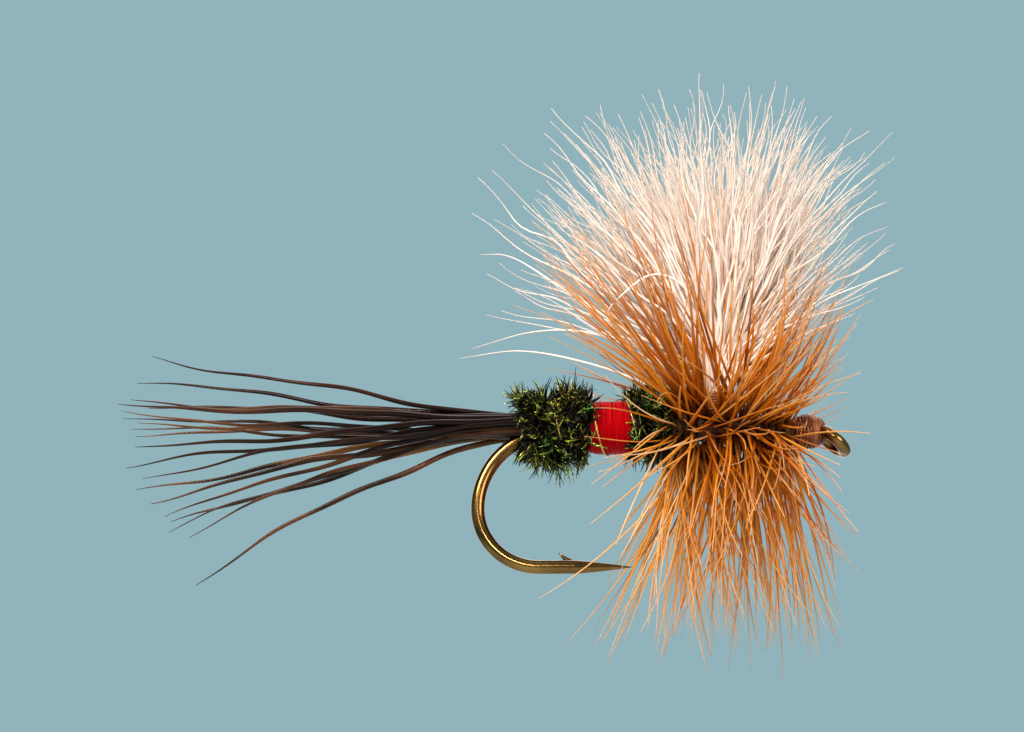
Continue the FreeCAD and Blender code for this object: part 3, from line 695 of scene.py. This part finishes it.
# ---------------------------------------------------------------- hackles
# How the barbs stand, against their angle from straight up: between the wings, beside them,
# sideways, down. Rows: lean along the shank at the stem's rear end and at its front end, the
# station the tips stop at, the share of the full length, and the share of the barbs left on.
STAND_ANGLES = np.radians([0, 14, 30, 68, 95, 125, 180])
REAR_STANCE = ([-0.62, -0.66, -0.88, -0.76, -0.34, -0.40, -0.44],
               [0.00, -0.04, -0.10, -0.16, -0.12, 0.14, 0.34],
               [-11.9, -11.9, -11.9, -10.6, -9.0, -10.0, -10.9],
               [1.0, 1.0, 1.0, 1.0, 0.95, 1.0, 1.0],
               [1.0, 1.0, 1.0, 0.9, 0.5, 0.85, 1.0])
FRONT_STANCE = ([0.04, 0.16, 0.50, 0.56, 0.48, -0.04, -0.46],
                [0.48, 0.54, 0.72, 0.60, 0.30, 0.34, 0.40],
                [1.1, 1.1, 1.1, 0.9, 0.7, 1.1, 1.2],
                [1.0, 1.0, 0.95, 0.88, 0.88, 0.97, 0.97],
                [0.45, 0.45, 0.45, 0.55, 0.75, 0.9, 0.9])


def build_hackle(name, height, bed, count, seed, reach, stance, curl, strays):
    """A wound hackle feather: its stem as a coil, with barbs standing out all along it."""
    rng = np.random.default_rng(seed)
    low, high = node_box(name + "_stem")
    stem_radius = 0.10
    coil, radial = coil_path(low[0] + stem_radius, high[0] - stem_radius, QUILL_PITCH,
                             level(bed + stem_radius), height, 60)
    piece(name + "_quill", wound(coil, radial, 0.22, 0.18, 10), quill_finish(),
          [name + "_stem"])

    # Barbs that would point straight sideways are parted, some up and some down.
    share = np.linspace(0, 1, count)
    spot = (share * (len(coil) - 1)).astype(int)
    outward = radial[spot]
    parting = outward[:, 2] + 0.12
    push = 0.26 * np.sign(parting) * np.exp(-(parting / 0.30) ** 2) * rng.uniform(0.3, 1.2, count)
    outward = unit(outward + push[:, None] * Z_AXIS)
    sideways = np.cross(X_AXIS, outward)
    angle = np.arctan2(np.abs(outward[:, 1]), outward[:, 2])
    rows = (np.interp(angle, STAND_ANGLES, row) for row in stance)
    rear_lean, front_lean, limit, fullness, density = rows
    tilt = rear_lean + (front_lean - rear_lean) * np.clip(share + rng.normal(0, 0.12, count), 0, 1)
    tilt = tilt + rng.normal(0, 0.13, count)
    twist = rng.normal(0, 0.16, count)

    # Roots near the wing spill towards it, mostly beside the hair and less between the bunches.
    roots = coil[spot] + rng.normal(0, 0.04, (count, 3))
    towards_wing = share if low[0] < WING_X else 1 - share
    beside_wing = smoothstep((angle - 0.24) / 0.4)
    spill = 0.30 * towards_wing ** 2 + 1.35 * towards_wing * beside_wing
    roots[:, 0] += np.sign(WING_X - low[0]) * spill * rng.random(count)
    start_heading = unit(outward + rng.normal(0, 0.50, count)[:, None] * X_AXIS
                         + rng.normal(0, 0.45, count)[:, None] * sideways)
    end_heading = unit(outward + np.tan(tilt)[:, None] * X_AXIS + twist[:, None] * sideways)

    lengths = (reach - bed) * (0.74 + 0.30 * rng.beta(2.3, 1.6, count))
    lengths *= 1 - (1 - fullness) * rng.uniform(0.2, 1.8, count) - 0.25 * rng.random(count) ** 5
    room = np.abs(limit - roots[:, 0]) * rng.uniform(0.80, 1.12, count)
    outbound = np.where(tilt * (limit - roots[:, 0]) > 0, np.abs(np.sin(tilt)), 0)
    lengths = np.minimum(lengths, room / np.maximum(outbound, 0.05))
    bend = rng.normal(0, 0.17, (count, 3)) + curl * tilt[:, None] * X_AXIS
    steps, settle = 16, 0.17
    paths = grow(roots, start_heading, end_heading, lengths, steps, settle, bend)

    paler_below = 0.35 * (1 - share) * (outward[:, 2] < -0.3) * (curl > 0)
    shade = np.clip(rng.beta(2.0, 2.4, count) + paler_below
                    - 0.25 * (outward[:, 2] > 0.5) * (rng.random(count) < 0.35), 0, 1)
    kept = rng.random(count) < density + 2 * (1 - density) * towards_wing ** 2
    paths, shade = paths[kept], shade[kept]
    if strays:
        paths = np.concatenate([paths, [stray(points, steps) for points in strays]])
        shade = np.concatenate([shade, rng.uniform(0.3, 0.6, len(strays))])
    radii = taper(rng.uniform(0.048, 0.066, len(paths)), steps, 0.20, 2.0)
    piece(name + "_barbs", strands(paths, radii, 4, flatten=0.7, shade=shade),
          hackle_finish(), [name + "_barbs"])


# ---------------------------------------------------------------- head
def head_radius(station):
    """Outline of the head: a low barrel that closes towards both ends."""
    back, front = HEAD_LOW[0], HEAD_HIGH[0]
    stations = [back - 0.2, back, back + 0.2, back + 0.45, front - 0.30, front - 0.06, front + 0.1]
    return np.interp(station, stations, [0.45, 0.50, 0.61, 0.66, 0.62, 0.50, 0.42])


def build_head():
    """Close turns of thread over one another, each laid at its own slight slant."""
    rng = np.random.default_rng(5)
    start, end, phase_range = HEAD_LOW[0] - 0.08, HEAD_HIGH[0] - 0.05, 6.28
    parts = []
    for layer, pitch in enumerate((0.072, -0.085, 0.080, -0.095, 0.11, 0.13)):
        lift = 0.014 * layer - 0.07
        coil, radial = coil_path(start, end, pitch,
                                 lambda station: head_radius(station) + lift, SHANK_Z, 56,
                                 phase=rng.uniform(0, phase_range), skew=0.02 + 0.022 * layer,
                                 skew_phase=rng.uniform(0, phase_range))
        parts.append(wound(coil, radial, 0.10, 0.060, 6, rng.random()))
    piece("head_winding", joined(parts), thread_finish(), ["thread_head"])


def build_posts():
    """Thread wound round the foot of each wing, rising outwards with its lean."""
    turns, steps_per_turn = 7, 36
    half_length, half_width = 0.50, 0.30
    foot_gap, climb, leaning_height = 0.12, 0.68, 0.7
    angle = np.linspace(0, FULL_TURN * turns, turns * steps_per_turn)
    rise = np.linspace(0, 1, len(angle))
    radial = np.stack([np.cos(angle), np.sin(angle), 0 * angle], axis=-1)
    for side, node in ((1, "wing_post_left"), (-1, "wing_post_right")):
        low, high = node_box(node)
        centre = (low + high) / 2
        outwards = math.tan(WING_LEAN * side) * leaning_height * (rise - 0.5)
        points = np.stack([centre[0] + half_length * np.cos(angle),
                           centre[1] + half_width * np.sin(angle) + outwards,
                           low[2] + foot_gap + climb * rise], axis=-1)
        piece("post_winding_left" if side > 0 else "post_winding_right",
              wound(points, radial, 0.13, 0.09, 8), thread_finish(), [node])


# ---------------------------------------------------------------- assembly
# Single hairs and one barb that stand away from the rest, by the places each passes.
LEFT_STRAYS = [
    [(-4.6, 0.4, 1.0), (-7.5, 1.0, 4.4), (-10.8, 1.2, 6.9), (-12.4, 1.2, 7.9), (-13.6, 1.2, 8.0)],
    [(-4.8, 0.4, 1.0), (-6.8, 1.0, 3.4), (-9.0, 1.2, 4.7), (-11.4, 1.4, 4.9), (-13.9, 1.4, 4.2)],
    [(-4.9, 0.4, 1.0), (-7.2, 1.2, 2.7), (-9.5, 1.3, 3.6), (-12.0, 1.4, 4.1), (-14.4, 1.4, 3.8)],
]
RIGHT_STRAYS = [
    [(-4.5, -0.5, 1.0), (-4.9, -1.8, 3.6), (-5.7, -2.9, 5.2), (-7.0, -3.4, 5.6), (-8.4, -3.5, 4.5),
     (-8.8, -3.5, 3.8)],
]
BARB_STRAYS = [
    [(-5.9, -0.95, -0.2), (-7.6, -1.22, -0.40), (-9.6, -1.35, -0.22)],
]

build_hook()
build_tail()
build_herl("rear_herl", count=2600, seed=31, reach=0.98)
build_herl("front_herl", count=1500, seed=32, reach=0.85)
build_floss()
build_rib()
build_wing("wing_hair_left", "wing_left", side=1, seed=41, middle=-13, strays=LEFT_STRAYS)
build_wing("wing_hair_right", "wing_right", side=-1, seed=42, middle=9, strays=RIGHT_STRAYS)
build_hackle("rear_hackle", BODY_Z, bed=0.78, count=320, seed=51, reach=9.8,
             stance=REAR_STANCE, curl=0.08, strays=BARB_STRAYS)
build_hackle("front_hackle", SHANK_Z, bed=THREAD_RADIUS, count=400, seed=52, reach=9.6,
             stance=FRONT_STANCE, curl=-0.34, strays=[])
build_head()
build_posts()

hidden_thread = thread_finish("thread_under")
for node in ("thread_base", "tail_wraps", "wing_crossing_wraps", "wing_dam"):
    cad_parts[node].material_slots[0].material = hidden_thread
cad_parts["wing_butts"].material_slots[0].material = calf_finish()
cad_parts["head_cement"].material_slots[0].material = cement_finish()


# ---------------------------------------------------------------- studio
def area_light(name, place, size, power, colour):
    """A square lamp aimed at the middle of the fly."""
    light = bpy.data.lights.new(name, "AREA")
    light.size = size
    light.energy = power
    light.color = colour
    lamp = bpy.data.objects.new(name, light)
    lamp.location = place
    fly_middle = Vector((-0.009, 0, 0.002))
    aim = fly_middle - Vector(place)
    lamp.rotation_euler = aim.to_track_quat("-Z", "Y").to_euler()
    bpy.context.scene.collection.objects.link(lamp)


def build_studio():
    """Pale floor well below the fly, pale blue-grey surroundings and five lamps."""
    floor_z, half = -0.110, 3.0
    floor = bpy.data.meshes.new("studio_floor")
    floor.from_pydata([(-half, -half, floor_z), (half, -half, floor_z),
                       (half, half, floor_z), (-half, half, floor_z)], [], [(0, 1, 2, 3)])
    floor.materials.append(floor_finish())
    ground = bpy.data.objects.new("studio_floor", floor)
    bpy.context.scene.collection.objects.link(ground)

    world = bpy.data.worlds.new("studio_world")
    world.use_nodes = True
    background = world.node_tree.nodes["Background"]
    background.inputs["Color"].default_value = (0.33, 0.53, 0.59, 1)
    background.inputs["Strength"].default_value = 0.85
    bpy.context.scene.world = world

    area_light("key", (-0.14, -0.22, 0.17), 0.11, 1.30, (1.0, 0.94, 0.86))
    area_light("fill", (0.17, -0.20, 0.04), 0.12, 0.38, (1.0, 0.94, 0.87))
    area_light("glint", (-0.04, -0.26, 0.04), 0.03, 0.20, (1.0, 0.96, 0.90))
    area_light("top", (0.0, 0.04, 0.25), 0.30, 0.50, (1.0, 0.96, 0.92))
    area_light("back", (-0.05, 0.25, 0.12), 0.45, 0.50, (1.0, 0.96, 0.92))
    bpy.context.scene.view_settings.view_transform = "Standard"


def build_camera():
    """Side view of the fly, from slightly below the shank's level."""
    aim = Vector((-12.34, 0, 3.04)) * MM
    distance, elevation = 0.25, math.radians(-18)
    sensor_width, view_width = 36.0, 39.5 * MM
    camera = bpy.data.cameras.new("camera")
    camera.sensor_width = sensor_width
    camera.lens = sensor_width * distance / view_width
    camera.clip_start = 0.01
    eye = bpy.data.objects.new("camera", camera)
    eye.location = aim + distance * Vector((0, -math.cos(elevation), math.sin(elevation)))
    eye.rotation_euler = (aim - eye.location).to_track_quat("-Z", "Y").to_euler()
    bpy.context.scene.collection.objects.link(eye)
    bpy.context.scene.camera = eye


build_studio()
build_camera()
